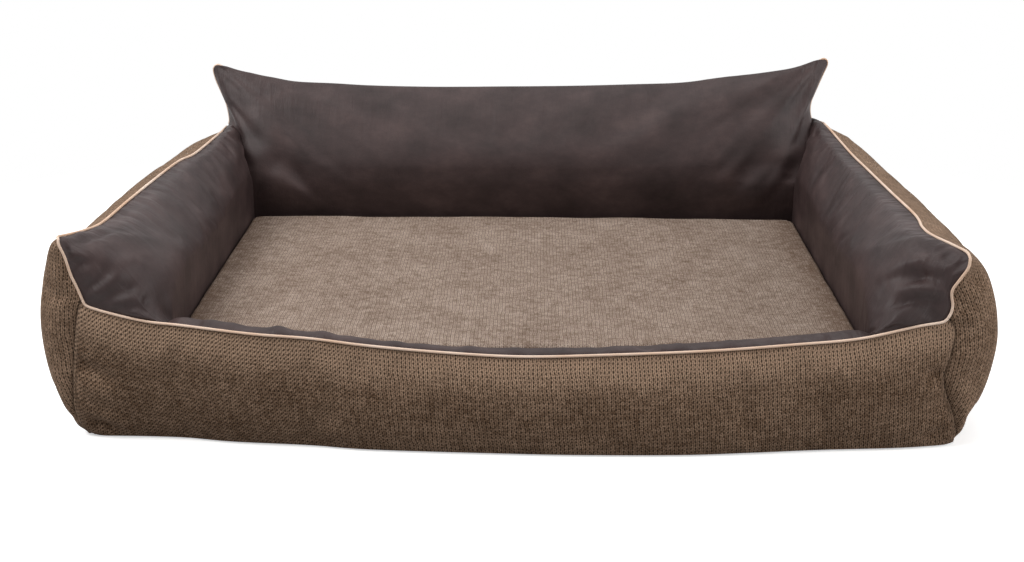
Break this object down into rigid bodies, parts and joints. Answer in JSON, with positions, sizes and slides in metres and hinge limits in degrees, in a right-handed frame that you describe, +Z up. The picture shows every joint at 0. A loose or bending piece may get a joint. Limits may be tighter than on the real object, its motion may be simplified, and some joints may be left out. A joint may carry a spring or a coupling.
{
  "type": "orthopedic dog bed",
  "caption": "Sofa-shaped pet bed: bolsters on three sides, a low front wall and a foam mattress that lifts out, with zipped covers.",
  "frame": {"origin": "middle of the footprint, on the floor", "axes": "+X to the right as seen from the front, +Y to the back cushion, +Z up"},
  "size_m": [1.1808, 0.9, 0.3551],
  "materials": {
    "chenille": "chunky woven chenille, brown",
    "mattress_chenille": "brushed chenille, lighter brown",
    "leather": "soft faux leather, dark brown, satin",
    "piping": "fine woven cord, beige",
    "lining_cloth": "plain woven lining with rubber dots",
    "liner_film": "thin waterproof film on knit",
    "fibre_filling": "loose polyester fibre",
    "memory_foam": "slow foam, open cells",
    "support_foam": "firm foam, open cells",
    "zip_tape": "woven polyester tape",
    "zip_coil": "nylon coil",
    "zip_metal": "satin enamel"
  },
  "bodies": {
    "bed": {"back_cloth": "chenille", "back_filling": "fibre_filling", "back_leather": "leather", "back_piping": "piping", "back_zip_coils": "zip_coil", "back_zip_stops": "zip_metal", "back_zip_tapes": "zip_tape", "bottom_sheet": "lining_cloth", "front_cloth": "chenille", "front_filling": "fibre_filling", "front_leather": "leather", "front_piping": "piping", "left_arm_filling": "fibre_filling", "left_arm_leather": "leather", "left_arm_piping": "piping", "left_side_cloth": "chenille", "right_arm_filling": "fibre_filling", "right_arm_leather": "leather", "right_arm_piping": "piping", "right_side_cloth": "chenille"},
    "mattress": {"mattress_top_cover": "mattress_chenille", "mattress_base_cover": "lining_cloth", "mattress_liner": "liner_film", "memory_foam": "memory_foam", "support_foam": "support_foam", "mattress_zip_tapes": "zip_tape", "mattress_zip_coils": "zip_coil", "mattress_zip_stops": "zip_metal"},
    "back_slider": {"back_zip_slider": "zip_metal"},
    "back_pull": {"back_zip_pull": "zip_metal"},
    "mattress_slider": {"mattress_zip_slider": "zip_metal"},
    "mattress_pull": {"mattress_zip_pull": "zip_metal"}
  },
  "joints": [
    {"name": "mattress_lift", "type": "slide", "parent": "bed", "child": "mattress", "axis": [0, 0, 1], "range_m": [0, 0.36]},
    {"name": "back_zip_travel", "type": "slide", "parent": "bed", "child": "back_slider", "axis": [1, 0, 0], "range_m": [0, 0.747]},
    {"name": "back_zip_pull_swing", "type": "hinge", "parent": "back_slider", "child": "back_pull", "pos_m": [-0.3737, 0.44805, 0.042], "axis": [0, 0, 1], "range_deg": [0, 170]},
    {"name": "mattress_zip_travel", "type": "slide", "parent": "mattress", "child": "mattress_slider", "axis": [1, 0, 0], "range_m": [0, 0.647]},
    {"name": "mattress_zip_pull_swing", "type": "hinge", "parent": "mattress_slider", "child": "mattress_pull", "pos_m": [-0.3237, 0.27885, 0.026], "axis": [0, 0, 1], "range_deg": [0, 170]}
  ]
}
